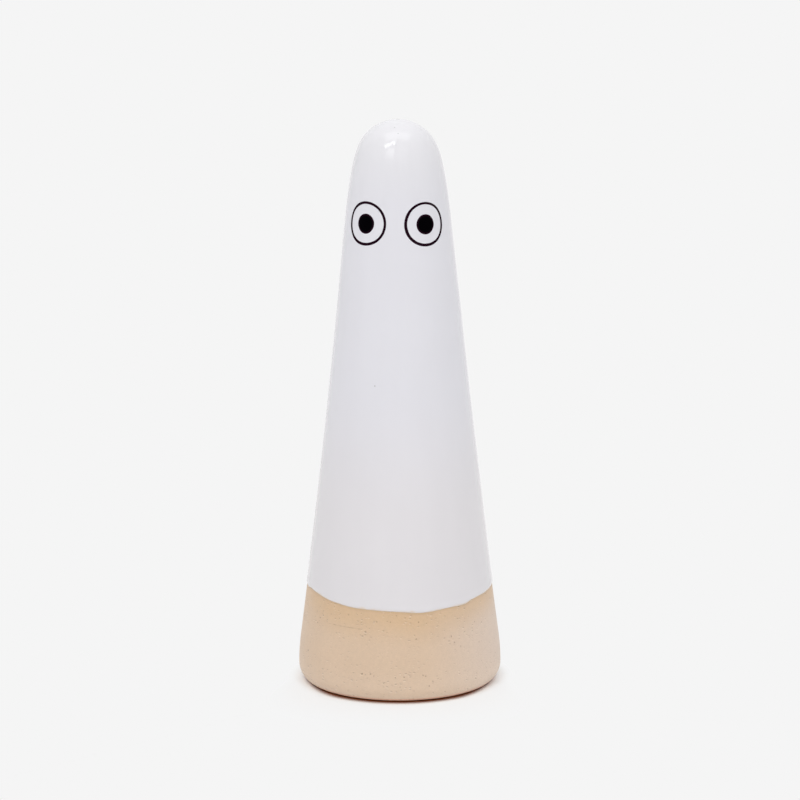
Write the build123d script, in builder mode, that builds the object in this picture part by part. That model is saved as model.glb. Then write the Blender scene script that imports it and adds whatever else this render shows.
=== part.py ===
from build123d import *
from math import cos, radians, sin
import os

os.makedirs("parts", exist_ok=True)

# A hand-thrown stoneware ghost: a hollow clay figure, dipped in white glaze, with painted eyes.
# It stands on the XY plane with its axis on Z and its face towards -Y.
# Left and right are those of someone who looks at the face. All lengths are in millimetres.

# Clay figure, outside. A drop is measured down from the top of the clay.
CLAY_HEIGHT = 168.9  # floor to the top of the crown, under the glaze
FOOT_DIAMETER = 60.9  # the widest place, low on the foot
FOOT_ROUND_HEIGHT = 4.8  # height of that widest place
FOOT_TUCK = 2.65  # how far the foot draws in from there to the floor
BELLY_EASE = 4.4  # how slowly the swell of the foot turns into the side
HIP_HEIGHT = 16.5  # where that swell runs out
HIP_DIAMETER = 58.9
HIP_LEAN = 7.4  # degrees that the side leans in from upright there
SIDE_HOLLOW = 0.57  # how far the waist lies in from a straight line between hip and brow
BROW_DROP = 31.3
BROW_DIAMETER = 31.2
TEMPLE_DROP = 13.9
TEMPLE_DIAMETER = 26.4
CROWN_DROP = 3.9
CROWN_DIAMETER = 18.0

# Clay figure, inside: open at the foot, with a wall that is thickest there
FOOT_RING_WIDTH = 4.0  # flat ring that the figure stands on, before its inner edge is rounded
MOUTH_ROUND = 1.2
BROW_WALL = 4.2
TEMPLE_WALL = 5.0
TOP_WALL = 6.0

# White glaze, with the dip line lower at the face than at the back
GLAZE_THICKNESS = 0.2
DIP_HEIGHT = 29.9  # on the axis
DIP_TILT = 4.3  # degrees

# Painted eyes: a ring line and a pupil on each side of the face
EYE_DROP = 28.9  # to the middle of the eyes
EYE_SPREAD = 33.7  # degrees from the middle of the face to each eye
EYE_DIAMETER = 12.8
EYE_LINE = 0.65
PUPIL_DIAMETER = 5.7
PAINT_THICKNESS = 0.1

# Points of the clay's outline, as (distance from the axis, height)
contact = Vector(FOOT_DIAMETER / 2 - FOOT_TUCK, 0)
widest = Vector(FOOT_DIAMETER / 2, FOOT_ROUND_HEIGHT)
hip = Vector(HIP_DIAMETER / 2, HIP_HEIGHT)
brow = Vector(BROW_DIAMETER / 2, CLAY_HEIGHT - BROW_DROP)
waist = (hip + brow) / 2 - Vector(SIDE_HOLLOW, 0)
temple = Vector(TEMPLE_DIAMETER / 2, CLAY_HEIGHT - TEMPLE_DROP)
crown = Vector(CROWN_DIAMETER / 2, CLAY_HEIGHT - CROWN_DROP)
top = Vector(0, CLAY_HEIGHT)
hip_rise = Vector(-sin(radians(HIP_LEAN)), cos(radians(HIP_LEAN)))
inwards = Vector(-1, 0)

# The side and crown are one smooth line
side_points = [hip, waist, brow, temple, crown, top]
side_line = Spline(side_points, tangents=(hip_rise, inwards))


def grown(point, growth):
    """A point of the side moved square to it, outwards by growth."""
    along = side_line % side_line.param_at_point(point)
    return point + Vector(along.Y, -along.X) * growth


def side_and_crown(growth):
    """The line from hip to top, moved outwards by growth."""
    Spline([grown(point, growth) for point in side_points], tangents=(hip_rise, inwards))


def coat(inner, outer):
    """A coat all round the figure from hip to top, between two growths of the clay's outline."""
    with BuildSketch(Plane.XZ) as section:
        with BuildLine():
            side_and_crown(inner)
            side_and_crown(outer)
            Line(grown(hip, inner), grown(hip, outer))
            Line(grown(top, inner), grown(top, outer))
        make_face()
    revolve(section.sketch, axis=Axis.Z)


# Clay figure
mouth = contact - Vector(FOOT_RING_WIDTH, 0)
inner_brow = grown(brow, -BROW_WALL)
inner_temple = grown(temple, -TEMPLE_WALL)
inner_top = grown(top, -TOP_WALL)
with BuildPart() as clay_body:
    with BuildSketch(Plane.XZ):
        with BuildLine():
            TangentArc(widest, contact, tangent=(0, -1))
            Bezier(widest, widest + Vector(0, BELLY_EASE), hip - hip_rise * BELLY_EASE, hip)
            side_and_crown(0)
            Line(top, inner_top)
            Spline(inner_brow, inner_temple, inner_top, tangents=(inner_brow - mouth, inwards))
            Line(inner_brow, mouth)
            Line(mouth, contact)
        make_face()
    revolve(axis=Axis.Z)
    floor_edges = clay_body.edges().filter_by(GeomType.CIRCLE).group_by(Axis.Z)[0]
    fillet(floor_edges.sort_by(SortBy.RADIUS)[0], MOUTH_ROUND)
clay_body.part.label = "clay_body"
export_step(clay_body.part, "parts/clay_body.step")

# White glaze coat
dip_lean = radians(DIP_TILT)
dip_plane = Plane(origin=(0, 0, DIP_HEIGHT), z_dir=(0, -sin(dip_lean), cos(dip_lean)))
with BuildPart() as white_glaze:
    coat(0, GLAZE_THICKNESS)
    split(bisect_by=dip_plane, keep=Keep.TOP)
white_glaze.part.label = "white_glaze"
export_step(white_glaze.part, "parts/white_glaze.step")

# Eyes, painted on the glaze
for eye, turn in (("left", -EYE_SPREAD), ("right", EYE_SPREAD)):
    across = Vector(cos(radians(turn)), sin(radians(turn)), 0)
    outward = Vector(sin(radians(turn)), -cos(radians(turn)), 0)
    eye_plane = Plane(origin=(0, 0, CLAY_HEIGHT - EYE_DROP), x_dir=across, z_dir=outward)

    with BuildPart() as eye_ring:
        coat(GLAZE_THICKNESS, GLAZE_THICKNESS + PAINT_THICKNESS)
        with BuildSketch(eye_plane):
            Circle(EYE_DIAMETER / 2)
            Circle(EYE_DIAMETER / 2 - EYE_LINE, mode=Mode.SUBTRACT)
        extrude(amount=FOOT_DIAMETER, mode=Mode.INTERSECT)
    eye_ring.part.label = f"{eye}_eye_ring"
    export_step(eye_ring.part, f"parts/{eye}_eye_ring.step")

    with BuildPart() as pupil:
        coat(GLAZE_THICKNESS, GLAZE_THICKNESS + PAINT_THICKNESS)
        with BuildSketch(eye_plane):
            Circle(PUPIL_DIAMETER / 2)
        extrude(amount=FOOT_DIAMETER, mode=Mode.INTERSECT)
    pupil.part.label = f"{eye}_pupil"
    export_step(pupil.part, f"parts/{eye}_pupil.step")
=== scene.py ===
"""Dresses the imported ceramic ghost: a thrown clay wall, a dipped white glaze and two brushed eyes.

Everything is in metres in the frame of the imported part, apart from the materials, which count in millimetres.
The figure stands on the floor at the origin, its axis is Z and its face looks along -Y. Left and right are
those of someone who faces it.
"""

import math

import bmesh
import bpy
import numpy as np
from bpy.props import FloatProperty, FloatVectorProperty, PointerProperty
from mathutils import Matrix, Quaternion, Vector
from mathutils.geometry import interpolate_bezier


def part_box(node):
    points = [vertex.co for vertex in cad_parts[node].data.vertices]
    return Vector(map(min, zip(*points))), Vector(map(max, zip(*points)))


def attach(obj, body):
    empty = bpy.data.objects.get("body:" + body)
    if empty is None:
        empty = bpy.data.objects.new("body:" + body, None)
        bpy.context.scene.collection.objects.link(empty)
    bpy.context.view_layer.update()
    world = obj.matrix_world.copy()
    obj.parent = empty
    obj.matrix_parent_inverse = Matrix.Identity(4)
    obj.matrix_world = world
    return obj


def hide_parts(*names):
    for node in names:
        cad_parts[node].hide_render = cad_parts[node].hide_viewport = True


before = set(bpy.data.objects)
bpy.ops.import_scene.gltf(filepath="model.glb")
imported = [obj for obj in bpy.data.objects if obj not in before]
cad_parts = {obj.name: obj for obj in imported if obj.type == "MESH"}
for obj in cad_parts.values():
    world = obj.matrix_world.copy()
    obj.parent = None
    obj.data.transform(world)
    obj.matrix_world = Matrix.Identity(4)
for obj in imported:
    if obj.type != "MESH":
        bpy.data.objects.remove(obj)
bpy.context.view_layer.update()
CLAY_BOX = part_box("clay_body")
EYE_BOXES = {side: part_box(f"{side}_eye_ring") for side in ("left", "right")}

bl_info = {
    "name": "Ceramic Ghost",
    "version": (1, 0, 0),
    "blender": (4, 5, 0),
    "location": "3D View > Sidebar > Ghost",
    "description": "Throws, glazes and paints a small ceramic ghost round its packed part",
    "category": "Object",
}

MM = 0.001

# How finely the meshes are made: points round the axis or round a brush mark, and rows of a brush mark.
WALL_SEGMENTS = 360
RING_SEGMENTS, RING_ROWS = 160, 21
DOT_SEGMENTS, DOT_ROWS = 96, 41

# Points drawn on each stretch of the wall's section, before its rows are set out.
FOOT_POINTS, CUT_POINTS, BELLY_POINTS, SIDE_POINTS = 24, 10, 48, 160
MOUTH_POINTS, DOME_POINTS = 12, 40

# Spacing of the wall's rows under the glaze, on the bare band, on the foot ring and inside.
COVERED_ROW = 3 * MM
BARE_ROW = 0.4 * MM
FOOT_ROW = 0.5 * MM
INSIDE_ROW = 1.3 * MM

# How far above the dip line no clay shows, and how far below it the glazed outline starts.
SURELY_GLAZED = 5 * MM
SURELY_BARE = 8 * MM

# Points closer together than this are one.
SEAM = 1e-7


def tone(red, green, blue):
    """A colour as it is read off a screen, 0 to 255, in Blender's own linear values."""
    shares = (value / 255 for value in (red, green, blue))
    return tuple(s / 12.92 if s <= 0.04045 else ((s + 0.055) / 1.055) ** 2.4 for s in shares)


def size(name, description, default):
    """A length that a user may change, in metres."""
    return FloatProperty(name=name, description=description, default=default, unit="LENGTH", precision=5)


def angle(name, description, degrees):
    """An angle that a user may change."""
    turn = math.radians(degrees)
    return FloatProperty(name=name, description=description, default=turn, subtype="ANGLE")


def colour(name, description, default):
    """A colour that a user may change."""
    return FloatVectorProperty(
        name=name, description=description, default=default, subtype="COLOR", min=0, max=1
    )


def light(name, description, default):
    """A brightness that a user may change. A negative one takes light away."""
    return FloatProperty(name=name, description=description, default=default)


class ThrownClaySettings(bpy.types.PropertyGroup):
    """The clay wall: its outline from the foot up, its inside and its colours."""

    height: size("Height", "Top of the clay above the floor", CLAY_BOX[1].z)
    foot_radius: size("Foot Radius", "Widest radius, just above the floor", CLAY_BOX[1].x)
    foot_round: size("Foot Rounding", "Height over which the foot rounds in", 4.8 * MM)
    foot_tuck: size("Foot Tuck", "How far the foot rounds in to the floor", 2.6 * MM)
    belly_ease: size("Belly Ease", "Length of the turn from foot to side", 4.4 * MM)
    hip_height: size("Hip Height", "Where the straight side begins", 16.5 * MM)
    hip_radius: size("Hip Radius", "Radius at the hip", 29.45 * MM)
    hip_lean: angle("Hip Lean", "Lean of the side at the hip", 7.4)
    side_hollow: size("Side Hollow", "How far the side is hollowed halfway up", 0.49 * MM)
    brow_drop: size("Brow Drop", "Brow below the top", 31.3 * MM)
    brow_radius: size("Brow Radius", "Radius at the brow", 15.6 * MM)
    temple_drop: size("Temple Drop", "Temple below the top", 13.9 * MM)
    temple_radius: size("Temple Radius", "Radius at the temple", 13.2 * MM)
    crown_drop: size("Crown Drop", "Crown below the top", 3.9 * MM)
    crown_radius: size("Crown Radius", "Radius at the crown", 9.0 * MM)
    foot_lip: size("Foot Lip", "Height of the foot's lower edge, which just clears the floor", 0.26 * MM)
    undercut: size("Undercut", "How far the foot is cut in under its lower edge", 2.0 * MM)
    ring_width: size("Foot Ring Width", "Flat ring that stands on the floor", 4.05 * MM)
    mouth_round: size("Mouth Rounding", "Rounding of the opening's edge", 1.2 * MM)
    brow_wall: size("Brow Wall", "Wall at the brow", 4.2 * MM)
    temple_wall: size("Temple Wall", "Wall at the temple", 5.0 * MM)
    top_wall: size("Top Wall", "Wall at the top", 6.0 * MM)
    swell: size("Hand Swell", "Slow swell that the hands left in the side", 0.02 * MM)
    wobble: size("Wobble", "How far the wall is out of round", 0.05 * MM)
    bow: size("Bow", "How far the middle leans to the right of the foot and crown", 0.1 * MM)
    finger_ring: size("Finger Ring", "Depth of the throwing rings inside", 0.30 * MM)
    finger_pitch: size("Finger Pitch", "Spacing of the throwing rings inside", 5.5 * MM)
    buff: colour("Buff", "Bare clay", tone(222, 196, 170))
    toasted: colour("Toasted", "Warmer clay just under the glaze", tone(219, 187, 151))
    # Painted sheen: paler clay towards the right side.
    right_sheen_tint: colour("Dusty", "Paler clay on the right", tone(226, 207, 192))
    # Painted light from the floor: clay made paler towards the foot.
    floor_lit_clay: colour("Pale Foot", "Clay rubbed pale low on the foot", tone(238, 216, 195))
    # Painted shade: a warm darkening of the clay just above the floor.
    warm_floor_shade: colour("Rust", "Tint of the clay just above the floor", tone(255, 212, 194))
    # Painted shade: the dark band under the foot's lower edge.
    painted_foot_shade: colour("Stain", "Clay in the shade of the foot", tone(70, 30, 12))
    # Dark grit, and painted shade in the pinpricks and under the glaze's edge.
    dark_grit_and_shade: colour("Dark Grit", "Pits and iron grains", tone(140, 104, 78))
    # Painted highlight on the lower edge of each pinprick.
    pit_edge_highlight: colour("Pale Grit", "Sand grains", tone(250, 234, 216))


class GlazeSettings(bpy.types.PropertyGroup):
    """The dipped glaze: its thickness, its edge and its colours."""

    thickness: size("Thickness", "Glaze on the clay", 0.28 * MM)
    edge_round: size("Edge Rounding", "Length over which the glaze rounds up from its edge", 0.5 * MM)
    bead: size("Bead", "Extra glaze that gathers at the edge", 0.06 * MM)
    bead_place: size("Bead Place", "Bead above the edge", 1.0 * MM)
    bead_breadth: size("Bead Breadth", "Length over which the bead falls away", 0.8 * MM)
    dip_height: size("Dip Height", "Height of the dip line on the axis", 29.6 * MM)
    dip_front: size("Front Drop", "How much lower the dip line is at the face", 2.3 * MM)
    dip_side: size("Side Drop", "How much lower the dip line is at the right", 0.45 * MM)
    white: colour("White", "Glaze where it is thick", tone(229, 228, 234))
    milky: colour("Milky", "Glaze on the lower body", tone(229, 226, 229))
    # Lighter glaze towards the crown.
    lighter_crown: colour("Pooled", "Thick glaze that ran to the crown while it hung there", tone(233, 232, 236))
    thin: colour("Thin Edge", "Glaze where the clay shows through", tone(226, 210, 194))
    speck: colour("Speck", "Iron specks and pinholes", tone(128, 120, 118))


class EyeSettings(bpy.types.PropertyGroup):
    """The brushed eyes: their size, their place and their paint."""

    ring_radius: size("Ring Radius", "Outside of the painted ring", 6.51 * MM)
    ring_line: size("Ring Line", "Width of the brush line", 0.85 * MM)
    ring_egg: size("Ring Egg", "How much fuller the ring is low on its sides", 0.05 * MM)
    ring_square: size("Ring Square", "How much the ring fills its corners", 0.04 * MM)
    ring_stray: size("Ring Stray", "How far the ring strays from its line", 0.12 * MM)
    pupil_radius: size("Pupil Radius", "Radius of the painted dot", 2.96 * MM)
    pupil_stray: size("Pupil Stray", "How far the dot's edge strays from round", 0.2 * MM)
    film: size("Paint Film", "How far the paint stands up", 0.08 * MM)
    left_across: size("Left Across", "How far right of its packed place the left eye is", -0.28 * MM)
    left_up: size("Left Up", "How far above its packed place the left eye is", 0.13 * MM)
    right_across: size("Right Across", "How far right of its packed place the right eye is", -0.07 * MM)
    right_up: size("Right Up", "How far above its packed place the right eye is", 0.0)
    black: colour("Black", "Paint", tone(2, 1, 3))
    line_black: colour("Line Black", "Paint of a fine line, thinner than a dot's", tone(33, 13, 25))
    thin_black: colour("Thin Paint", "Paint at the edge of a stroke", tone(46, 12, 34))


class StageSettings(bpy.types.PropertyGroup):
    """The pale floor, the soft light and the camera."""

    paper: colour("Paper", "Floor and background", tone(245, 245, 245))
    # Painted shade: the paper's dark tint under the foot, seen only by the camera and in gloss.
    shade: colour("Shade", "Floor that takes the clay's colour under the foot", tone(122, 72, 44))
    camera_side: angle("Camera Side", "Camera round to the right of the face", 2.55)
    camera_pitch: angle("Camera Pitch", "Camera above the horizon", 11.818)
    camera_roll: angle("Camera Roll", "Turn of the picture", -0.22)
    camera_distance: size("Camera Distance", "Camera to the aim on the axis", 1.018574)
    aim_height: size("Aim Height", "Height that the camera looks at", 85.016 * MM)
    aim_side: size("Aim Side", "Aim to the right of the axis", 0.34 * MM)
    lens: FloatProperty(name="Lens", description="Focal length in millimetres", default=153.74)
    sky: light("Sky", "Even light from all round", 0.352)
    sky_top: light("Top Light", "Light added from above", 0.968)
    sky_left: light("Left Light", "Light added low on the left", -0.32)
    sky_right: light("Right Light", "Light added low on the right", 0.16)
    window: light("Window", "Brightness of the window at the left", 4.95)
    pane: light("Lower Pane", "Brightness of the window's lower pane", 1.6)
    broad: light("Broad Card", "Brightness of the low card behind the camera", 0.17)
    card: light("Front Card", "Brightness of the wide card in front", 0.3)
    ceiling: light("Ceiling", "Brightness of the ceiling, which shows only in the gloss", 1.28)
    lamp_distance: size("Lamp Distance", "Lamps to the aim on the axis", 1.2)


class Wire:
    """A socket of a node tree. Sums on wires add Math nodes, and node() adds any other node."""

    def __init__(self, tree, socket=None):
        self.tree = tree
        self.socket = socket

    def node(self, kind, settings=None, inputs=None, out=0):
        """Adds a node, makes its settings, then fills its inputs with values or wires."""
        made = self.tree.nodes.new(kind)
        for name, value in (settings or {}).items():
            if name == "points":
                set_points(made.mapping, value)
            else:
                setattr(made, name, value)
        for key, value in (inputs or {}).items():
            if isinstance(value, Wire):
                self.tree.links.new(value.socket, made.inputs[key])
            else:
                made.inputs[key].default_value = value
        return Wire(self.tree, made.outputs[out] if made.outputs else None)

    def out(self, name):
        """Another output of the same node."""
        return Wire(self.tree, self.socket.node.outputs[name])

    def maths(self, operation, *values):
        return self.node("ShaderNodeMath", {"operation": operation}, dict(enumerate(values)))

    def __add__(self, other):
        return self.maths("ADD", self, other)

    def __radd__(self, other):
        return self.maths("ADD", other, self)

    def __sub__(self, other):
        return self.maths("SUBTRACT", self, other)

    def __rsub__(self, other):
        return self.maths("SUBTRACT", other, self)

    def __mul__(self, other):
        return self.maths("MULTIPLY", self, other)

    def __rmul__(self, other):
        return self.maths("MULTIPLY", other, self)

    def __truediv__(self, other):
        return self.maths("DIVIDE", self, other)

    def __rtruediv__(self, other):
        return self.maths("DIVIDE", other, self)

    def __lt__(self, other):
        return self.maths("LESS_THAN", self, other)

    def __gt__(self, other):
        return self.maths("GREATER_THAN", self, other)

    def sine(self):
        return self.maths("SINE", self)

    def cosine(self):
        return self.maths("COSINE", self)

    def size(self):
        """How big a number is, whichever its sign."""
        return self.maths("ABSOLUTE", self)

    def rounded(self):
        return self.maths("ROUND", self)

    def least(self, other):
        return self.maths("MINIMUM", self, other)

    def most(self, other):
        return self.maths("MAXIMUM", self, other)

    def fade(self, start, end, low=0.0, high=1.0):
        """Goes smoothly from low to high while this value goes from start to end."""
        return self.node(
            "ShaderNodeMapRange",
            {"interpolation_type": "SMOOTHSTEP"},
            {0: self, 1: start, 2: end, 3: low, 4: high},
        )

    def parts(self):
        """The three numbers of a vector."""
        split = self.node("ShaderNodeSeparateXYZ", inputs={0: self})
        return split, split.out("Y"), split.out("Z")

    def from_axis(self):
        """How far a place is from the upright axis."""
        level = self.vectors("MULTIPLY", self, (1.0, 1.0, 0.0))
        return self.node("ShaderNodeVectorMath", {"operation": "LENGTH"}, {0: level}, out="Value")

    def vector(self, x, y, z):
        return self.node("ShaderNodeCombineXYZ", inputs={0: x, 1: y, 2: z})

    def vectors(self, operation, *values):
        return self.node("ShaderNodeVectorMath", {"operation": operation}, dict(enumerate(values)))

    def scaled(self, amount):
        """A vector times a number."""
        return self.node("ShaderNodeVectorMath", {"operation": "SCALE"}, {0: self, "Scale": amount})

    def noise(self, place, scale, detail=2.0, roughness=0.5, out=0):
        """Soft noise about one half, at a vector."""
        return self.node(
            "ShaderNodeTexNoise",
            inputs={"Vector": place, "Scale": scale, "Detail": detail, "Roughness": roughness},
            out=out,
        )

    def mixed(self, share, first, second, blend="MIX"):
        """A colour between two, or one laid on the other."""
        return self.node(
            "ShaderNodeMix",
            {"data_type": "RGBA", "blend_type": blend},
            {0: share, 6: opaque(first), 7: opaque(second)},
            out=2,
        )

    def toned(self, body, shade):
        """A colour times a number."""
        return self.mixed(1.0, body, self.vector(shade, shade, shade), "MULTIPLY")


def opaque(value):
    """A colour with its fourth number, or a wire as it is."""
    return value if isinstance(value, Wire) else (*value, 1.0)


def set_points(mapping, points):
    """Draws a float curve through its points. A new curve already has two of its own."""
    line = mapping.curves[0]
    for index, (x, y) in enumerate(points):
        if index < 2:
            line.points[index].location = (x, y)
        else:
            line.points.new(x, y)
    mapping.update()


def new_tree(name, **labels):
    """A geometry tree with named inputs, listed by their kind. Returns it with a dict of them as wires."""
    tree = bpy.data.node_groups.new(name, "GeometryNodeTree")
    kinds = {label: kind for kind, listed in labels.items() for label in listed}
    for label, kind in kinds.items():
        tree.interface.new_socket(name=label, in_out="INPUT", socket_type=f"NodeSocket{kind}")
    tree.interface.new_socket(name="Mesh", in_out="OUTPUT", socket_type="NodeSocketGeometry")
    inlet = Wire(tree).node("NodeGroupInput")
    return tree, {label: inlet.out(label) for label in kinds}


def end_tree(mesh, material):
    """Closes a tree: seams merged, faces smooth, instances made real, material set."""
    merged = mesh.node("GeometryNodeMergeByDistance", inputs={"Geometry": mesh, "Distance": SEAM})
    smooth = mesh.node("GeometryNodeSetShadeSmooth", inputs={"Geometry": merged})
    real = mesh.node("GeometryNodeRealizeInstances", inputs={"Geometry": smooth})
    done = mesh.node("GeometryNodeSetMaterial", inputs={"Geometry": real, "Material": material})
    mesh.node("NodeGroupOutput", inputs={"Mesh": done})


def shaped(name, tree, values):
    """Runs a tree on an empty mesh and returns the result as a plain mesh object."""
    host = bpy.data.objects.new(name, bpy.data.meshes.new(name))
    bpy.context.scene.collection.objects.link(host)
    modifier = host.modifiers.new(tree.name, "NODES")
    modifier.node_group = tree
    identifiers = {
        item.name: item.identifier
        for item in tree.interface.items_tree
        if item.item_type == "SOCKET" and item.in_out == "INPUT"
    }
    for label, value in values.items():
        modifier[identifiers[label]] = value
    bpy.context.view_layer.update()
    depsgraph = bpy.context.evaluated_depsgraph_get()
    mesh = bpy.data.meshes.new_from_object(
        host.evaluated_get(depsgraph), preserve_all_data_layers=True, depsgraph=depsgraph
    )
    if not mesh.polygons:
        raise RuntimeError(f"the tree {tree.name} made no faces for {name}")
    empty = host.data
    host.modifiers.clear()
    host.data = mesh
    mesh.name = name
    bpy.data.meshes.remove(empty)
    turn_outward(mesh)
    return host


def turn_outward(mesh):
    """Points the faces of a closed mesh outward."""
    work = bmesh.new()
    work.from_mesh(mesh)
    if any(not edge.is_manifold for edge in work.edges):
        raise RuntimeError(f"{mesh.name} isn't closed")
    bmesh.ops.recalc_face_normals(work, faces=work.faces)
    if work.calc_volume(signed=True) < 0:
        bmesh.ops.reverse_faces(work, faces=work.faces)
    work.to_mesh(mesh)
    work.free()


def drawn_line(name, points):
    """A guide curve of straight pieces, for the trees to read. It is removed once they have run."""
    curve = bpy.data.curves.new(name, "CURVE")
    curve.dimensions = "3D"
    spline = curve.splines.new("POLY")
    spline.points.add(len(points) - 1)
    for point, place in zip(spline.points, points):
        point.co = (*place, 1.0)
    guide = bpy.data.objects.new(name, curve)
    bpy.context.scene.collection.objects.link(guide)
    return guide


def remove_guides(*guides):
    """Takes away guide curves that the trees have read."""
    for guide in guides:
        curve = guide.data
        bpy.data.objects.remove(guide)
        bpy.data.curves.remove(curve)


def smooth_line(stations, first_way, last_way, steps):
    """The smooth curve through stations that leaves and arrives along two given directions."""
    stations = np.asarray(stations, float)
    spans = np.linalg.norm(np.diff(stations, axis=0), axis=1)
    last = len(stations) - 1
    weights = np.eye(last + 1)
    pulls = np.zeros_like(stations)
    pulls[0], pulls[last] = first_way, last_way
    for i in range(1, last):
        before, after = spans[i - 1], spans[i]
        weights[i, i - 1 : i + 2] = after, 2 * (before + after), before
        pulls[i] = 3 * after / before * (stations[i] - stations[i - 1])
        pulls[i] += 3 * before / after * (stations[i + 1] - stations[i])
    ways = np.linalg.solve(weights, pulls)
    line = [stations[:1]]
    for i in range(last):
        reach = spans[i] / 3
        leaving = stations[i] + ways[i] * reach
        arriving = stations[i + 1] - ways[i + 1] * reach
        line.append(bent_line(stations[i], leaving, arriving, stations[i + 1], steps)[1:])
    return np.concatenate(line)


def bent_line(start, start_handle, end_handle, end, steps):
    """Points on one Bezier piece."""
    knots = (start, start_handle, end_handle, end)
    return np.array([tuple(p) for p in interpolate_bezier(*(Vector(k) for k in knots), steps)])


def even_rows(line, spacing):
    """A line's points set out anew at about even spacing, both ends kept."""
    run = np.concatenate([[0], np.cumsum(np.linalg.norm(np.diff(line, axis=0), axis=1))])
    marks = np.linspace(0, run[-1], max(2, round(run[-1] / spacing) + 1))
    return np.stack([np.interp(marks, run, line[:, k]) for k in range(line.shape[1])], axis=1)


# Handles of the undercut's curve: shares of its depth and height at the lip, and of its depth on the floor.
LIP_HANDLE = (0.35, 0.6)
FLOOR_HANDLE = 0.8


def outer_line(clay):
    """Outside of the clay as (radius, height), from the floor up to the top."""
    hip = np.array([clay.hip_radius, clay.hip_height])
    brow = np.array([clay.brow_radius, clay.height - clay.brow_drop])
    temple = (clay.temple_radius, clay.height - clay.temple_drop)
    crown = (clay.crown_radius, clay.height - clay.crown_drop)
    waist = (hip + brow) / 2 - (clay.side_hollow, 0)
    rise = np.array([-math.sin(clay.hip_lean), math.cos(clay.hip_lean)])
    widest = np.array([clay.foot_radius, clay.foot_round])
    ease = clay.belly_ease
    # The foot rounds in on an arc that leaves the widest point straight down.
    arc_radius = (clay.foot_tuck**2 + clay.foot_round**2) / (2 * clay.foot_tuck)
    lip_turn = math.asin((clay.foot_round - clay.foot_lip) / arc_radius)
    turns = np.linspace(lip_turn, 0, FOOT_POINTS)
    centre = np.array([clay.foot_radius - arc_radius, clay.foot_round])
    foot = centre + arc_radius * np.stack([np.cos(turns), -np.sin(turns)], axis=1)
    # Below the lip the foot is cut in, so that it stands on a ring and not on its edge.
    lip = foot[0]
    under_lip = lip - (clay.undercut * LIP_HANDLE[0], clay.foot_lip * LIP_HANDLE[1])
    contact = (lip[0] - clay.undercut, 0)
    from_contact = (lip[0] - clay.undercut * FLOOR_HANDLE, 0)
    cut = bent_line(contact, from_contact, under_lip, lip, CUT_POINTS)
    belly = bent_line(widest, widest + (0, ease), hip - rise * ease, hip, BELLY_POINTS)
    stations = (hip, waist, brow, temple, crown, (0, clay.height))
    side = smooth_line(stations, rise, (-1, 0), SIDE_POINTS)
    return np.concatenate([cut[:-1], foot, belly[1:], side[1:]])


def inner_line(clay):
    """Inside of the clay as (radius, height), from the mouth up to the inner top."""
    mouth = np.array([clay.foot_radius - clay.foot_tuck - clay.ring_width, 0])
    brow = np.array([clay.brow_radius - clay.brow_wall, clay.height - clay.brow_drop])
    temple = (clay.temple_radius - clay.temple_wall, clay.height - clay.temple_drop)
    top = (0, clay.height - clay.top_wall)
    rise = (brow - mouth) / np.linalg.norm(brow - mouth)
    lip = clay.mouth_round
    rounding = bent_line(mouth + (lip, 0), mouth, mouth, mouth + rise * lip, MOUTH_POINTS)
    dome = smooth_line((brow, temple, top), rise, (-1, 0), DOME_POINTS)
    return np.concatenate([rounding, dome])


# Heights between which the fingers' rings inside set in.
FINGERS_SET_IN = (8 * MM, 22 * MM)


def wall_section(clay, glaze):
    """The wall as (radius, share of finger marks, height), from the top down outside and up again inside."""
    outside, inside = outer_line(clay), inner_line(clay)
    hidden = outside[:, 1] > glaze.dip_height + SURELY_GLAZED
    band, covered = outside[~hidden], outside[np.argmax(hidden) - 1 :]
    ring = np.array([outside[0], inside[0]])
    outer_rows = np.concatenate(
        [
            even_rows(covered[::-1], COVERED_ROW),
            even_rows(band[::-1], BARE_ROW)[1:],
            even_rows(ring, FOOT_ROW)[1:],
        ]
    )
    inner_rows = even_rows(inside, INSIDE_ROW)[1:]
    fingers = np.interp(inner_rows[:, 1], FINGERS_SET_IN, (0, 1))
    return np.concatenate(
        [np.insert(outer_rows, 1, 0.0, axis=1), np.insert(inner_rows, 1, fingers, axis=1)]
    )


# The film's rows: length and rows of its lip, and rows of its side. The back keeps one row in so many.
GLAZE_LIP = 3.5 * MM
LIP_ROWS, COAT_ROWS = 30, 150
BACK_STEP = 4
# The back stops this short of the edge. The edge and the back lie this deep in the clay, in thicknesses.
BACK_SHORT = 0.3 * MM
EDGE_SUNK, BACK_SUNK = 0.12, 0.6


def film_section(glaze, length):
    """The glaze film as (share of the way up, way up from its edge, depth in thicknesses), once round."""
    lip_rows = np.linspace(0, GLAZE_LIP, LIP_ROWS)
    side_rows = np.linspace(GLAZE_LIP, length, COAT_ROWS)
    way = np.concatenate([lip_rows, side_rows[1:]])
    rounded_edge = np.sqrt(np.clip(way / glaze.edge_round, 0, 1))
    swollen = np.exp(-(((way - glaze.bead_place) / glaze.bead_breadth) ** 2))
    bead = glaze.bead / glaze.thickness * swollen
    top = np.stack([way / length, way, rounded_edge * (1 + bead) - EDGE_SUNK], axis=1)
    back = way[::-1][::BACK_STEP]
    back = np.append(back[back > BACK_SHORT], 0.0)[1:]
    sunk = np.where(back > 0, -BACK_SUNK, -EDGE_SUNK)
    under = np.stack([back / length, back, sunk], axis=1)
    pole = np.array([[1.0, length, -BACK_SUNK]])
    return np.concatenate([top, pole, under])


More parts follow.
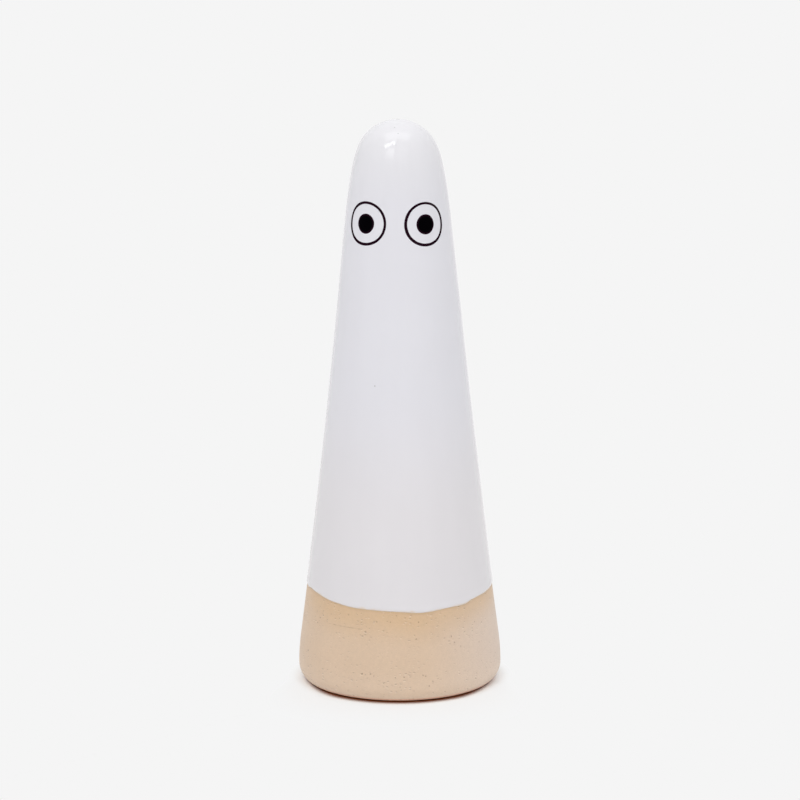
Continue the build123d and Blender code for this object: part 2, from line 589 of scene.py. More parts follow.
# The dip line's own lifts and runs, by how far round from the face: degrees, millimetres.
DIP_LIFTS = (
    (-180, 0.0), (-120, 0.1), (-78, -0.32), (-66, 0.36), (-47, 0.1), (-37, -0.02), (-27, -0.1),
    (-9, 0.04), (3, -0.06), (15, -0.46), (27, -0.2), (35, 0.0), (44, -0.2), (51, 0.36), (59, 0.52),
    (68, 0.38), (78, 0.3), (100, 0.05), (140, -0.2), (180, 0.0),
)
# Furthest lift or run that the curve through them can hold, in millimetres.
LIFT_SPAN = 2.0
DIP_INPUTS = ("Dip Height", "Dip Front", "Dip Side")


def dip_values(glaze):
    """What the trees' inputs for the dip line are set to."""
    return dict(zip(DIP_INPUTS, (glaze.dip_height, glaze.dip_front, glaze.dip_side)))


def dip_line(inputs, turn):
    """Height of the glaze's edge at a turn round the axis."""
    points = [(0.5 + degrees / 360, 0.5 + lift / (2 * LIFT_SPAN)) for degrees, lift in DIP_LIFTS]
    # The curve's own two points become the first and the last.
    points = [points[0], points[-1], *points[1:-1]]
    drawn = turn.node("ShaderNodeFloatCurve", {"points": points}, {"Value": turn / math.tau + 0.5})
    lift = (drawn - 0.5) * (2 * LIFT_SPAN * MM)
    level, front, side = (inputs[label] for label in DIP_INPUTS)
    return level - front * turn.cosine() - side * turn.sine() + lift


HAND_INPUTS = ("Swell", "Wobble", "Bow")
# The hands' slow swell: the height of one wave, and where it crests.
SWELL_PITCH = 72 * MM
SWELL_CREST = 62 * MM
# The bow sets in over the first heights and turns back over the second, to a share the other way.
BOW_SETS_IN = (38 * MM, 62 * MM)
BOW_TURNS_BACK = (110 * MM, 132 * MM)
BOW_OVERSHOOT = -0.5
# The wobble's noise: its scale, and how fast it changes with height.
WOBBLE_SCALE = 0.9
WOBBLE_CLIMB = 22.0
# Radius within which the hands' marks die away, so that the pole stays a point.
POLE_CALM = 6 * MM


def hand_values(clay):
    """What the trees' inputs for the drift of the hands are set to."""
    return dict(zip(HAND_INPUTS, (clay.swell, clay.wobble, clay.bow)))


def hand_drift(inputs, turn, radius, height):
    """How far the thrown wall drifts in and out from its outline."""
    swell, wobble, bow = (inputs[label] for label in HAND_INPUTS)
    slow = ((height - SWELL_CREST) * (math.tau / SWELL_PITCH)).cosine() * swell
    bowed = height.fade(*BOW_SETS_IN) * height.fade(*BOW_TURNS_BACK, 1.0, BOW_OVERSHOOT)
    slow = slow + turn.sine() * bowed * bow
    around = turn.vector(turn.sine(), turn.cosine(), height * WOBBLE_CLIMB)
    uneven = (turn.noise(around, WOBBLE_SCALE, detail=1.0) - 0.5) * (wobble * 2.0)
    return (slow + uneven) * radius.fade(0.0, POLE_CALM)


def unrolled_grid(inputs, rows):
    """A sheet of segments by rows. Returns it with its turn, from -pi to pi, and its row number."""
    kit = inputs["Segments"]
    sheet = kit.node(
        "GeometryNodeMeshGrid",
        inputs={0: 1.0, 1: 1.0, "Vertices X": inputs["Segments"] + 1, "Vertices Y": rows},
    )
    across, along, _ = kit.node("GeometryNodeInputPosition").parts()
    turn = across * math.tau
    row = ((along + 0.5) * (rows - 1)).rounded()
    return sheet, turn, row


def row_of(guide, row):
    """Place of a guide curve's point by its number."""
    return guide.node(
        "GeometryNodeSampleIndex",
        {"data_type": "FLOAT_VECTOR", "domain": "POINT"},
        {"Geometry": guide, "Value": guide.node("GeometryNodeInputPosition"), "Index": row},
    )


def shape_of(wire):
    """Geometry of the object that an input names."""
    return wire.node("GeometryNodeObjectInfo", inputs={"Object": wire}, out="Geometry")


def points_of(guide):
    """Number of points of a guide curve."""
    return guide.node(
        "GeometryNodeAttributeDomainSize", {"component": "CURVE"}, {"Geometry": guide}, out="Point Count"
    )


def noted(mesh, name, value):
    """Keeps a number on the mesh under a name that its material reads."""
    return mesh.node(
        "GeometryNodeStoreNamedAttribute",
        {"data_type": "FLOAT", "domain": "POINT"},
        {"Geometry": mesh, "Name": name, "Value": value},
    )


def moved(mesh, place):
    """The mesh with its points at their new places. What is worked out from the flat sheet comes before."""
    return mesh.node("GeometryNodeSetPosition", inputs={"Geometry": mesh, "Position": place})


def swung(turn, radius, height):
    """A place at a turn round the axis, the face at turn nought."""
    return turn.vector(turn.sine() * radius, turn.cosine() * radius * -1.0, height)


def throwing_tree():
    """Turns a wall's section round the axis, with the drift of the hands and the rings of the fingers."""
    tree, inputs = new_tree(
        "Thrown Wall",
        Object=["Section"],
        Int=["Segments"],
        Float=[*HAND_INPUTS, "Finger Depth", "Finger Pitch", *DIP_INPUTS],
        Material=["Material"],
    )
    section = shape_of(inputs["Section"])
    sheet, turn, row = unrolled_grid(inputs, points_of(section))
    # The section's Y says how much the fingers marked the wall there: 0 outside, 1 inside.
    radius, fingers, height = row_of(section, row).parts()
    spiral = (height / inputs["Finger Pitch"] * math.tau + turn).cosine()
    rings = spiral * inputs["Finger Depth"] * fingers * radius.fade(0.0, POLE_CALM)
    drift = hand_drift(inputs, turn, radius, height) + rings
    sheet = noted(sheet, "below_glaze", dip_line(inputs, turn) - height)
    wall = moved(sheet, swung(turn, radius + drift, height))
    end_tree(wall, inputs["Material"])
    return tree


# The glaze's noise: its scale, the least share of the thickness, and what the noise adds to that.
GLAZE_CLOUDS = 45.0
GLAZE_LEAST, GLAZE_MORE = 0.85, 0.3


def dipping_tree():
    """Lays a film on the outline from the dip line up. The film's own section says how thick it is."""
    tree, inputs = new_tree(
        "Dipped Glaze",
        Object=["Outline", "Film"],
        Int=["Segments"],
        Float=["Thickness", *HAND_INPUTS, "Start Height", "Lean", *DIP_INPUTS],
        Material=["Material"],
    )
    outline, film = shape_of(inputs["Outline"]), shape_of(inputs["Film"])
    sheet, turn, row = unrolled_grid(inputs, points_of(film))
    share, lip, depth = row_of(film, row).parts()
    edge = (dip_line(inputs, turn) - inputs["Start Height"]) / inputs["Lean"].cosine()
    whole = outline.node("GeometryNodeCurveLength", inputs={"Curve": outline})
    spot = outline.node(
        "GeometryNodeSampleCurve",
        {"mode": "LENGTH", "data_type": "FLOAT", "use_all_curves": True},
        {"Curves": outline, "Length": edge + (whole - edge) * share},
        out="Position",
    )
    radius, _, height = spot.parts()
    along, _, up = spot.out("Tangent").parts()
    clouds = turn.noise(swung(turn, radius, height), GLAZE_CLOUDS, detail=2.0)
    thick = depth * inputs["Thickness"] * (GLAZE_LEAST + clouds * GLAZE_MORE)
    drift = hand_drift(inputs, turn, radius, height)
    sheet = noted(sheet, "above_edge", lip)
    coat = moved(sheet, swung(turn, radius + up * thick + drift, height - along * thick))
    end_tree(coat, inputs["Material"])
    return tree


# Where on its way round the brush presses hardest, by what share, and how uneven its pressure is.
HARDEST_PRESS = math.radians(235)
PRESS_SHARE, PRESS_UNEVEN = 0.08, 0.3
# Scales of the noise that sways the stroke and that varies its pressure.
SWAY_SCALE, PRESS_SCALE = 0.8, 1.6
# The rays that find the glaze start this far from the axis.
RAY_START = 60 * MM
# The paint's section in film thicknesses: the breadth of its rounded edge, how deep that edge lies, and how
# far below it the back is.
PAINT_ROUND, PAINT_SUNK, PAINT_BACK = 2.2, 0.25, 0.6


def brushing_tree():
    """Lays a film of paint on the glaze: a ring of brush line, or a dot where the line fills it."""
    tree, inputs = new_tree(
        "Brush Mark",
        Object=["Glaze"],
        Int=["Segments", "Rows"],
        Float=["Turn", "Height", "Radius", "Line", "Filled", "Egg", "Square", "Film", "Stray", "Seed"],
        Material=["Material"],
    )
    sheet, clock, row = unrolled_grid(inputs, inputs["Rows"])
    # Half of the rows are the top of the film, and half come back underneath.
    loop = row / (inputs["Rows"] - 1) * 2.0
    across = loop.least(2.0 - loop)
    under = loop > 1.0
    circle = clock.vector(clock.cosine(), clock.sine(), inputs["Seed"])
    sway = (clock.noise(circle, SWAY_SCALE, detail=1.0) - 0.5) * inputs["Stray"]
    # Three soft corners make an egg, and four a square.
    drawn = (clock * 3.0).sine() * inputs["Egg"] + (clock * 4.0).cosine() * inputs["Square"]
    heavy = (clock - HARDEST_PRESS).cosine() * PRESS_SHARE
    pressure = 1.0 + heavy + (clock.noise(circle, PRESS_SCALE, detail=1.0) - 0.5) * PRESS_UNEVEN
    outer = inputs["Radius"] + sway - drawn
    inner = (outer - inputs["Line"] * pressure) * (1.0 - inputs["Filled"])
    reach = inner + (outer - inner) * across
    # A filled mark has no inner edge, so that one is put a metre off.
    from_edge = (outer - reach).least(reach - inner + inputs["Filled"])
    outward = swung(inputs["Turn"], 1.0, 0.0)
    sideways = swung(inputs["Turn"] + math.pi / 2, 1.0, 0.0)
    rise = clock.vector(0.0, 0.0, inputs["Height"] + clock.sine() * reach)
    start = clock.vectors("ADD", outward.scaled(RAY_START), rise)
    start = clock.vectors("ADD", start, sideways.scaled(clock.cosine() * reach))
    hit = clock.node(
        "GeometryNodeRaycast",
        inputs={
            "Target Geometry": shape_of(inputs["Glaze"]),
            "Source Position": start,
            "Ray Direction": outward.scaled(-1.0),
            "Ray Length": RAY_START,
        },
        out="Hit Position",
    )
    full = from_edge.fade(0.0, inputs["Film"] * PAINT_ROUND)
    proud = full * (1.0 + PAINT_SUNK) - PAINT_SUNK
    sunk = full * PAINT_BACK + PAINT_SUNK
    lift = inputs["Film"] * (proud * (1.0 - under) - sunk * under)
    sheet = noted(sheet, "from_edge", from_edge)
    film = moved(sheet, clock.vectors("ADD", hit, hit.out("Hit Normal").scaled(lift)))
    end_tree(film, inputs["Material"])
    return tree


def new_material(name):
    material = bpy.data.materials.new(name)
    material.use_nodes = True
    material.node_tree.nodes.clear()
    return material, Wire(material.node_tree)


def surfaced(kit, sockets):
    """Ends a material in a shader with its sockets filled by name."""
    shader = kit.node("ShaderNodeBsdfPrincipled", inputs=sockets)
    kit.node("ShaderNodeOutputMaterial", inputs={"Surface": shader})


def place_in_mm(kit):
    """The piece's own coordinates in millimetres, so that a noise's scale is in waves per millimetre."""
    return kit.node("ShaderNodeTexCoord", out="Object").scaled(1 / MM)


def turn_in_degrees(place):
    """How far round the axis from the face a place is."""
    across, depth, _ = place.parts()
    return place.maths("ARCTAN2", across, depth * -1.0) * math.degrees(1)


def note_in_mm(kit, name):
    """A length that was kept on the mesh, in millimetres."""
    return kit.node("ShaderNodeAttribute", {"attribute_name": name}, out="Fac") * (1 / MM)


# Specks are as small as this share of their size, and start to fade at this share of their reach.
LEAST_SPECK, SPECK_CORE = 0.45, 0.55
# Single marks are whole to the first share of their breadth from their middle, and end at the second.
MARK_EDGE = (0.25, 0.6)


def specks(kit, place, spacing, across, share):
    """Mask of round specks of a size, in a share of the cells of a spacing."""
    cells = kit.node("ShaderNodeTexVoronoi", inputs={"Vector": place, "Scale": 1 / spacing})
    chance, vary, _ = cells.out("Color").parts()
    reach = (LEAST_SPECK + vary * (1 - LEAST_SPECK)) * (across / (2 * spacing))
    return (1.0 - (cells / reach).fade(SPECK_CORE, 1.0)) * (chance < share)


def on_wall(clay, degrees, height):
    """A place on the outside of the clay, in millimetres, by its turn from the face and its height."""
    line = outer_line(clay) / MM
    radius = np.interp(height, line[:, 1], line[:, 0])
    turn = math.radians(degrees)
    return math.sin(turn) * radius, -math.cos(turn) * radius, height


def marks(kit, place, clay, spots):
    """Mask of single marks, each given by its turn in degrees, its height and its breadth."""
    mask = None
    core, edge = MARK_EDGE
    for degrees, height, breadth in spots:
        away = kit.node(
            "ShaderNodeVectorMath",
            {"operation": "DISTANCE"},
            {0: place, 1: on_wall(clay, degrees, height)},
            out="Value",
        )
        spot = away.fade(breadth * core, breadth * edge, 1.0, 0.0)
        mask = spot if mask is None else mask.most(spot)
    return mask


def bump(kit, height, strength):
    """Relief of a height in millimetres."""
    return kit.node("ShaderNodeBump", inputs={"Strength": strength, "Distance": MM, "Height": height})


# Single marks, as turn from the face in degrees, then height and breadth in millimetres.
PINHOLES = (
    (-6, 167.3, 0.65), (3, 165.8, 0.6), (-17.5, 93.2, 0.62), (-2, 109.7, 0.34), (3, 104.4, 0.3),
    (16, 100.7, 0.36), (27, 100.7, 0.38), (-10, 85.7, 0.34), (-17, 80.7, 0.3), (40, 62.0, 0.3),
)
CLAY_PITS = (
    (-63, 11.3, 0.7), (-57, 24.0, 0.4), (-55, 20.6, 0.4), (-53, 22.6, 0.45), (-50, 24.8, 0.35),
    (-46, 22.2, 0.4), (-43, 24.5, 0.35), (-19, 8.6, 0.4), (-17, 8.3, 0.35), (-16, 7.4, 0.4),
    (-14, 8.7, 0.5), (-12, 8.2, 0.35), (-11, 24.2, 0.4), (-3, 24.3, 0.35), (0, 7.9, 0.4),
    (5, 8.1, 0.4), (12, 19.1, 0.45), (14, 24.2, 0.4), (15.5, 8.4, 0.5), (17, 8.0, 0.5),
    (19, 5.0, 0.4), (21, 6.2, 0.4), (24, 7.0, 0.35), (34, 18.9, 0.45), (36, 17.0, 0.4),
    (40, 15.6, 0.45), (45, 23.4, 0.45), (53, 21.5, 0.45), (55, 15.2, 0.45),
)

# The line that a turning tool scored: its first and last turn and its fading ends in degrees, and its height
# in millimetres.
SCORED_FROM, SCORED_TO, SCORED_END = -46, -18, 5
SCORED_HEIGHT = 21.7


def fired_clay(kit, clay, place, below, cloud):
    """The clay's colour: toasted under the glaze, with painted sheen paler at the right and less toast at the
    left edge, and painted light from the floor paler towards the foot.
    """
    across, _, height = place.parts()
    toast_reach, right_sheen_reach = 12.0, 9.5
    # Painted sheen at the sides: paler clay towards the right, and less toast at the left edge.
    left_sheen_edge, right_side = (-29.0, -21.0), (6.0, 30.0)
    foot, foot_edge = (1.0, 13.0), (0.5, 2.6)
    toast = below.fade(0.0, toast_reach, 1.0, 0.0) * (0.5 + cloud * 0.8)
    toast = toast * across.fade(*left_sheen_edge, 0.55, 1.0)
    body = kit.mixed(toast, clay.buff, clay.toasted)
    right_sheen = across.fade(*right_side) * below.fade(0.0, right_sheen_reach, 0.22, 0.8)
    body = kit.mixed(right_sheen, body, clay.right_sheen_tint)
    # Painted light from the floor: paler clay towards the foot, most near its lower edge.
    floorlit = height.fade(*foot, 0.35, 0.0) + height.fade(*foot_edge, 0.55, 0.0)
    return kit.mixed(floorlit, body, clay.floor_lit_clay)


def torn_marks(kit, clay, place):
    """Masks of pinpricks, of the painted highlights on the lower edge of each, and of pits, all with ragged
    edges.
    """
    calm_height, calm_half, calm_share = 14.5, (2.0, 6.0), 0.25
    # The pale marks beside the pinpricks are the same specks set a little lower: painted highlights on the
    # pits' lit lower edges.
    flattened, beside = (1.0, 1.0, 2.6), (0.1, 0.1, 0.75)
    height = place.parts()[2]
    band = (height - calm_height).size().fade(*calm_half, calm_share, 1.0)
    worn = 0.25 + kit.noise(place, 0.16, detail=1.0).fade(0.38, 0.56) * band * 0.75
    tear = kit.vectors("SUBTRACT", kit.noise(place, 1.6, out="Color"), (0.5, 0.5, 0.5))
    ragged = kit.vectors("ADD", place, tear.scaled(0.7))
    flat = kit.vectors("MULTIPLY", ragged, flattened)
    pinpricks = specks(kit, flat, spacing=1.3, across=1.05, share=0.42) * worn
    grains = specks(kit, kit.vectors("ADD", flat, beside), spacing=1.3, across=1.2, share=0.42) * worn
    pits = specks(kit, ragged, spacing=3.4, across=0.5, share=0.3)
    return pinpricks, grains, pits.most(marks(kit, ragged, clay, CLAY_PITS))


def scored_line(kit, place):
    """Mask of the broken line that a turning tool scored in the clay."""
    turn, height = turn_in_degrees(place), place.parts()[2]
    half_breadth = (0.05, 0.2)
    groove = (height - SCORED_HEIGHT).size().fade(*half_breadth, 1.0, 0.0)
    groove = groove * turn.fade(SCORED_FROM, SCORED_FROM + SCORED_END)
    groove = groove * turn.fade(SCORED_TO - SCORED_END, SCORED_TO, 1.0, 0.0)
    return groove * kit.noise(place, 0.6).fade(0.3, 0.7)


def foot_with_painted_shade(kit, clay, place, body):
    """The clay's colour with painted shade at the foot: a warm painted shade just above the floor, and a dark
    painted shade under its lower edge, weaker at the back.
    """
    height = place.parts()[2]
    warm, dark, front = (0.25, 1.3), (0.12, 0.44), (50.0, 95.0)
    lip_radius = (clay.foot_radius - clay.foot_tuck) / MM
    lip = (lip_radius - 0.8, lip_radius - 0.2)
    # Painted shade: warm just above the floor, and dark under the lower edge, stronger at the face than at the
    # back.
    body = kit.mixed(height.fade(*warm, 1.0, 0.0), body, clay.warm_floor_shade, "MULTIPLY")
    painted_foot_shade = (1.0 - height.fade(*dark)) * place.from_axis().fade(*lip)
    painted_foot_shade = painted_foot_shade * turn_in_degrees(place).size().fade(*front, 0.97, 0.55)
    return kit.mixed(painted_foot_shade, body, clay.painted_foot_shade)


def bare_clay_material(clay):
    """Pale stoneware, sponged and fired: toasted under the glaze, pitted and scratched, with painted light and
    shade: highlights beside the pinpricks, shade in them, under the glaze's edge and at the foot.
    """
    material, kit = new_material("bare_stoneware")
    place = place_in_mm(kit)
    below = note_in_mm(kit, "below_glaze")
    cloud = kit.noise(place, 0.07, detail=3.0)
    mottle = kit.noise(place, 0.7, detail=3.0, roughness=0.6)
    fine = kit.noise(place, 2.4, detail=3.0, roughness=0.7)
    turning = kit.noise(kit.vectors("MULTIPLY", place, (0.06, 0.06, 2.2)), 1.0, detail=3.0)
    pinpricks, grains, pits = torn_marks(kit, clay, place)
    scored = scored_line(kit, place)
    # Painted shade: a dark line just under the glaze's edge.
    glaze_edge_shade_starts, glaze_edge_shade_ends = (-0.6, 0.0), (0.1, 1.0)
    glaze_edge_shade = below.fade(*glaze_edge_shade_starts) * below.fade(*glaze_edge_shade_ends, 1.0, 0.0) * (kit.noise(place, 0.16) * 1.2)
    body = fired_clay(kit, clay, place, below, cloud)
    body = kit.toned(body, 0.83 + cloud * 0.06 + mottle * 0.10 + fine * 0.18)
    body = kit.mixed(glaze_edge_shade * 0.16, body, clay.dark_grit_and_shade)
    # Painted highlights below the pinpricks.
    body = kit.mixed(grains * 0.34, body, clay.pit_edge_highlight)
    # Painted shade in the pinpricks; the scored groove and the pits are darker too.
    body = kit.mixed(pinpricks * 0.36, body, clay.dark_grit_and_shade)
    body = kit.mixed(scored * 0.42, body, clay.dark_grit_and_shade)
    body = kit.mixed(pits * 0.48, body, clay.dark_grit_and_shade)
    relief = fine * 0.06 + mottle * 0.03 + turning * 0.04 + grains * 0.04
    relief = relief - pits * 0.125 - pinpricks * 0.10 - scored * 0.06
    surfaced(
        kit,
        {
            "Base Color": foot_with_painted_shade(kit, clay, place, body),
            "Roughness": 0.66 + fine * 0.16,
            "Specular IOR Level": 0.3,
            "Sheen Weight": 0.25,
            "Sheen Roughness": 0.5,
            "Normal": bump(kit, relief, 0.9),
        },
    )
    return material


def white_glaze_material(glaze, clay):
    """Soft white glaze, cloudy and a little glossy, thin and peachy where it ends."""
    material, kit = new_material("white_dip_glaze")
    place = place_in_mm(kit)
    height = place.parts()[2]
    waist, crown = (50.0, 95.0), (142.0, 164.0)
    cloud = kit.noise(place, 0.045, detail=3.0)
    streaks = kit.noise(kit.vectors("MULTIPLY", place, (0.16, 0.16, 0.016)), 1.0, detail=2.0)
    skin = kit.noise(place, 0.9, detail=2.0)
    slow = kit.noise(place, 0.11, detail=1.0)
    pinholes = specks(kit, place, spacing=11.0, across=0.5, share=0.3)
    pinholes = pinholes.most(marks(kit, place, clay, PINHOLES))
    body = kit.mixed(height.fade(*waist), glaze.milky, glaze.white)
    # Lighter towards the crown.
    body = kit.mixed(height.fade(*crown), body, glaze.lighter_crown)
    body = kit.toned(body, 0.972 + cloud * 0.028 + streaks * 0.028)
    ragged, thin_reach, thin_share = 2.2, 0.9, 0.85
    edge = note_in_mm(kit, "above_edge") + (kit.noise(place, 0.28, detail=3.0) - 0.4) * ragged
    body = kit.mixed(edge.fade(0.0, thin_reach, thin_share, 0.0), body, glaze.thin)
    relief = slow * 0.05 + skin * 0.005 - pinholes * 0.08
    surfaced(
        kit,
        {
            "Base Color": kit.mixed(pinholes * 0.6, body, glaze.speck),
            "Roughness": 0.07 + cloud * 0.04,
            "IOR": 1.5,
            "Normal": bump(kit, relief, 0.6),
        },
    )
    return material


def eye_paint_material(eyes):
    """Black underglaze from a brush, thinner and purplish at the edge of a stroke."""
    material, kit = new_material("black_brush_paint")
    place = place_in_mm(kit)
    ragged, thin, full = 0.06, (0.0, 0.22), (0.35, 0.7)
    edge = note_in_mm(kit, "from_edge") + (kit.noise(place, 3.0) - 0.5) * ragged
    line = kit.mixed(edge.fade(*thin), eyes.thin_black, eyes.line_black)
    relief = kit.noise(place, 2.2, detail=2.0) * 0.02
    surfaced(
        kit,
        {
            "Base Color": kit.mixed(edge.fade(*full), line, eyes.black),
            "Roughness": 0.5 + kit.noise(place, 1.3) * 0.16,
            "Specular IOR Level": 0.01,
            "Normal": bump(kit, relief, 0.5),
        },
    )
    return material


def dressed(piece, node):
    """Puts a finished piece in a node's place on the figure's one body."""
    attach(piece, "root")
    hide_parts(node)


class GHOST_OT_throw_clay(bpy.types.Operator):
    """Throws the hollow clay wall from its outline and its inside"""

    bl_idname = "ghost.throw_clay"
    bl_label = "Throw Clay"

    def execute(self, context):
        clay, glaze = context.scene.ghost_clay, context.scene.ghost_glaze
        section = drawn_line("wall_section", wall_section(clay, glaze))
        body = shaped(
            "thrown_clay",
            throwing_tree(),
            {
                "Section": section,
                "Segments": WALL_SEGMENTS,
                "Finger Depth": clay.finger_ring,
                "Finger Pitch": clay.finger_pitch,
                "Material": bare_clay_material(clay),
                **hand_values(clay),
                **dip_values(glaze),
            },
        )
        remove_guides(section)
        dressed(body, "clay_body")
        return {"FINISHED"}


# Points of the outline over which its lean at the dip line is taken.
LEAN_POINTS = 60


class GHOST_OT_dip_glaze(bpy.types.Operator):
    """Dips the clay in white glaze down to an uneven line above the foot"""

    bl_idname = "ghost.dip_glaze"
    bl_label = "Dip Glaze"

    def execute(self, context):
        clay, glaze = context.scene.ghost_clay, context.scene.ghost_glaze
        outside = outer_line(clay)
        glazed = outside[np.argmax(outside[:, 1] > glaze.dip_height - SURELY_BARE) :]
        chord = glazed[LEAN_POINTS] - glazed[0]
        length = np.linalg.norm(np.diff(glazed, axis=0), axis=1).sum()
        outline = drawn_line("glazed_outline", np.insert(glazed, 1, 0.0, axis=1))
        film = drawn_line("film_section", film_section(glaze, length))
        coat = shaped(
            "dipped_glaze",
            dipping_tree(),
            {
                "Outline": outline,
                "Film": film,
                "Segments": WALL_SEGMENTS,
                "Thickness": glaze.thickness,
                "Start Height": float(glazed[0, 1]),
                "Lean": math.atan2(-chord[0], chord[1]),
                "Material": white_glaze_material(glaze, clay),
                **hand_values(clay),
                **dip_values(glaze),
            },
        )
        remove_guides(outline, film)
        dressed(coat, "white_glaze")
        return {"FINISHED"}


class GHOST_OT_brush_rings(bpy.types.Operator):
    """Draws the ring of each eye on the glaze with a fine brush"""

    bl_idname = "ghost.brush_rings"
    bl_label = "Brush Eye Rings"
    first_seed = 3.0

    def execute(self, context):
        eyes = context.scene.ghost_eyes
        ring = {
            "Segments": RING_SEGMENTS,
            "Rows": RING_ROWS,
            "Radius": eyes.ring_radius,
            "Line": eyes.ring_line,
            "Filled": 0.0,
            "Egg": eyes.ring_egg,
            "Square": eyes.ring_square,
            "Stray": eyes.ring_stray,
        }
        brush_eyes(eyes, "brush_ring", "eye_ring", ring, self.first_seed)
        return {"FINISHED"}


class GHOST_OT_dot_pupils(bpy.types.Operator):
    """Dots the pupil of each eye with a full brush"""

    bl_idname = "ghost.dot_pupils"
    bl_label = "Dot Pupils"
    first_seed = 9.0

    def execute(self, context):
        eyes = context.scene.ghost_eyes
        dot = {
            "Segments": DOT_SEGMENTS,
            "Rows": DOT_ROWS,
            "Radius": eyes.pupil_radius,
            "Line": eyes.pupil_radius,
            "Filled": 1.0,
            "Egg": 0.0,
            "Square": 0.0,
            "Stray": eyes.pupil_stray,
        }
        brush_eyes(eyes, "brush_dot", "pupil", dot, self.first_seed)
        return {"FINISHED"}


def brush_eyes(eyes, mark, node, stroke, first_seed):
    """Paints one mark on each eye and puts it in the place of the eye's node."""
    paint = bpy.data.materials.get("black_brush_paint") or eye_paint_material(eyes)
    tree = brushing_tree()
    for number, side in enumerate(EYE_BOXES):
        own = {"Film": eyes.film, "Seed": first_seed + number, "Material": paint}
        made = shaped(f"{side}_{mark}", tree, {**eye_place(side, eyes), **stroke, **own})
        dressed(made, f"{side}_{node}")


def eye_place(side, eyes):
    """Where an eye sits on the glaze: the turn and height of its packed ring, and how far off it is."""
    glaze = bpy.data.objects.get("dipped_glaze")
    if glaze is None:
        raise RuntimeError("the eyes are painted on the glaze, so the glaze comes first")
    low, high = EYE_BOXES[side]
    middle = (low + high) / 2
    across, up = getattr(eyes, f"{side}_across"), getattr(eyes, f"{side}_up")
    turn = math.atan2(middle.x, -middle.y) + across / middle.xy.length
    return {"Glaze": glaze, "Turn": turn, "Height": middle.z + up}


# Lamps: name, its brightness in the stage's settings, breadth and height in metres, then degrees to the right
# of the face, degrees up and degrees of tilt.
LAMPS = (
    ("soft_window", "window", 0.56, 0.18, -30, 55, 36),
    ("lower_pane", "pane", 0.38, 0.34, -20, 38, 0),
    ("broad_card", "broad", 5.8, 0.26, -4, 2.5, 0),
    ("front_card", "card", 1.3, 0.52, 2, 37, 0),
    ("ceiling_card", "ceiling", 1.1, 0.55, 0, 83, 0),
)
GLOSS_LAMPS = ("ceiling_card",)

# Half of the floor's side, and how far from the figure the floor still takes its shade.
FLOOR_HALF = 8.0
FLOOR_SHADE = 4 * MM
# Camera's film in millimetres, and the nearest and furthest that it sees.
FILM_WIDTH = 36.0
NEAREST, FURTHEST = 0.05, 60.0


class GHOST_OT_set_stage(bpy.types.Operator):
    """Sets out the pale floor, the soft light and the camera"""

    bl_idname = "ghost.set_stage"
    bl_label = "Set Stage"

    def execute(self, context):
        stage = context.scene.ghost_stage
        lay_floor(stage)
        light_sky(context.scene, stage)
        for name, setting, *hanging in LAMPS:
            hang_lamp(name, stage, getattr(stage, setting), *hanging)
        stand_camera(context.scene, stage)
        context.scene.view_settings.view_transform = "Standard"
        return {"FINISHED"}


def facing(side, rise):
    """The direction that looks out to the right of the face by one angle and up by another."""
    level = math.cos(rise)
    return Vector((math.sin(side) * level, -math.cos(side) * level, math.sin(rise)))


def lay_floor(stage):
    """A wide sheet of pale paper."""
    mesh = bpy.data.meshes.new("paper_floor")
    corners = [(x * FLOOR_HALF, y * FLOOR_HALF, 0) for x, y in ((-1, -1), (1, -1), (1, 1), (-1, 1))]
    mesh.from_pydata(corners, [], [(0, 1, 2, 3)])
    floor = bpy.data.objects.new("paper_floor", mesh)
    bpy.context.scene.collection.objects.link(floor)
    mesh.materials.append(paper_material(stage))


def foot_shadow(place):
    """Soft shade on the floor round the foot, partly painted and partly the real shadow that it lets show, and
    how far to the figure's side a place lies.
    """
    side, flank_start, flank_end = (35.0, 84.0), (35.0, 62.0), (76.0, 88.0)
    near, (edge, end) = (29.8, 33.0), (37.0, 54.0)
    turned = turn_in_degrees(place).size()
    aside = turned.fade(*side)
    flank = turned.fade(*flank_start) * turned.fade(*flank_end, 1.0, 0.0)
    away = place.from_axis()
    shaded = away.fade(*near, 0.62 + flank * 0.22, 0.34 - aside * 0.14)
    return shaded * away.fade(edge - aside * 6.0, end - aside * 20.0, 1.0, 0.0), aside


def paper_material(stage):
    """Paper that shows its own colour, the figure's real shadow where it touches, and painted shade round the
    foot.
    """
    material, kit = new_material("pale_paper")
    seen = seen_directly(kit)
    shaded, aside = foot_shadow(place_in_mm(kit))
    tinted, shadowed = (0.3, 0.78), (0.7, 0.995)
    close = kit.node(
        "ShaderNodeAmbientOcclusion", {"samples": 16}, {"Distance": FLOOR_SHADE}, out="AO"
    )
    clear = close + aside * 0.5
    # Painted shade: paper seen by the camera takes a dark tint close under the foot.
    paper = kit.mixed(clear.fade(*tinted).most(1.0 - seen), stage.shade, stage.paper)
    # Painted shadow: the flat paper darkened a little round the foot.
    dimmed = kit.mixed(shaded * 0.06, paper, (0.0, 0.0, 0.0))
    lit = kit.node("ShaderNodeBsdfDiffuse", inputs={"Color": paper})
    flat = kit.node("ShaderNodeEmission", inputs={"Color": dimmed, "Strength": 1.0})
    share = seen * clear.fade(*shadowed) * (1.0 - shaded)
    mixed = kit.node("ShaderNodeMixShader", inputs={0: share, 1: lit, 2: flat})
    kit.node("ShaderNodeOutputMaterial", inputs={"Surface": mixed})
    return material


def seen_directly(kit):
    """One for what the camera sees, straight or in gloss or glass."""
    path = kit.node("ShaderNodeLightPath", out="Is Camera Ray")
    return path.most(path.out("Is Glossy Ray")).most(path.out("Is Transmission Ray"))


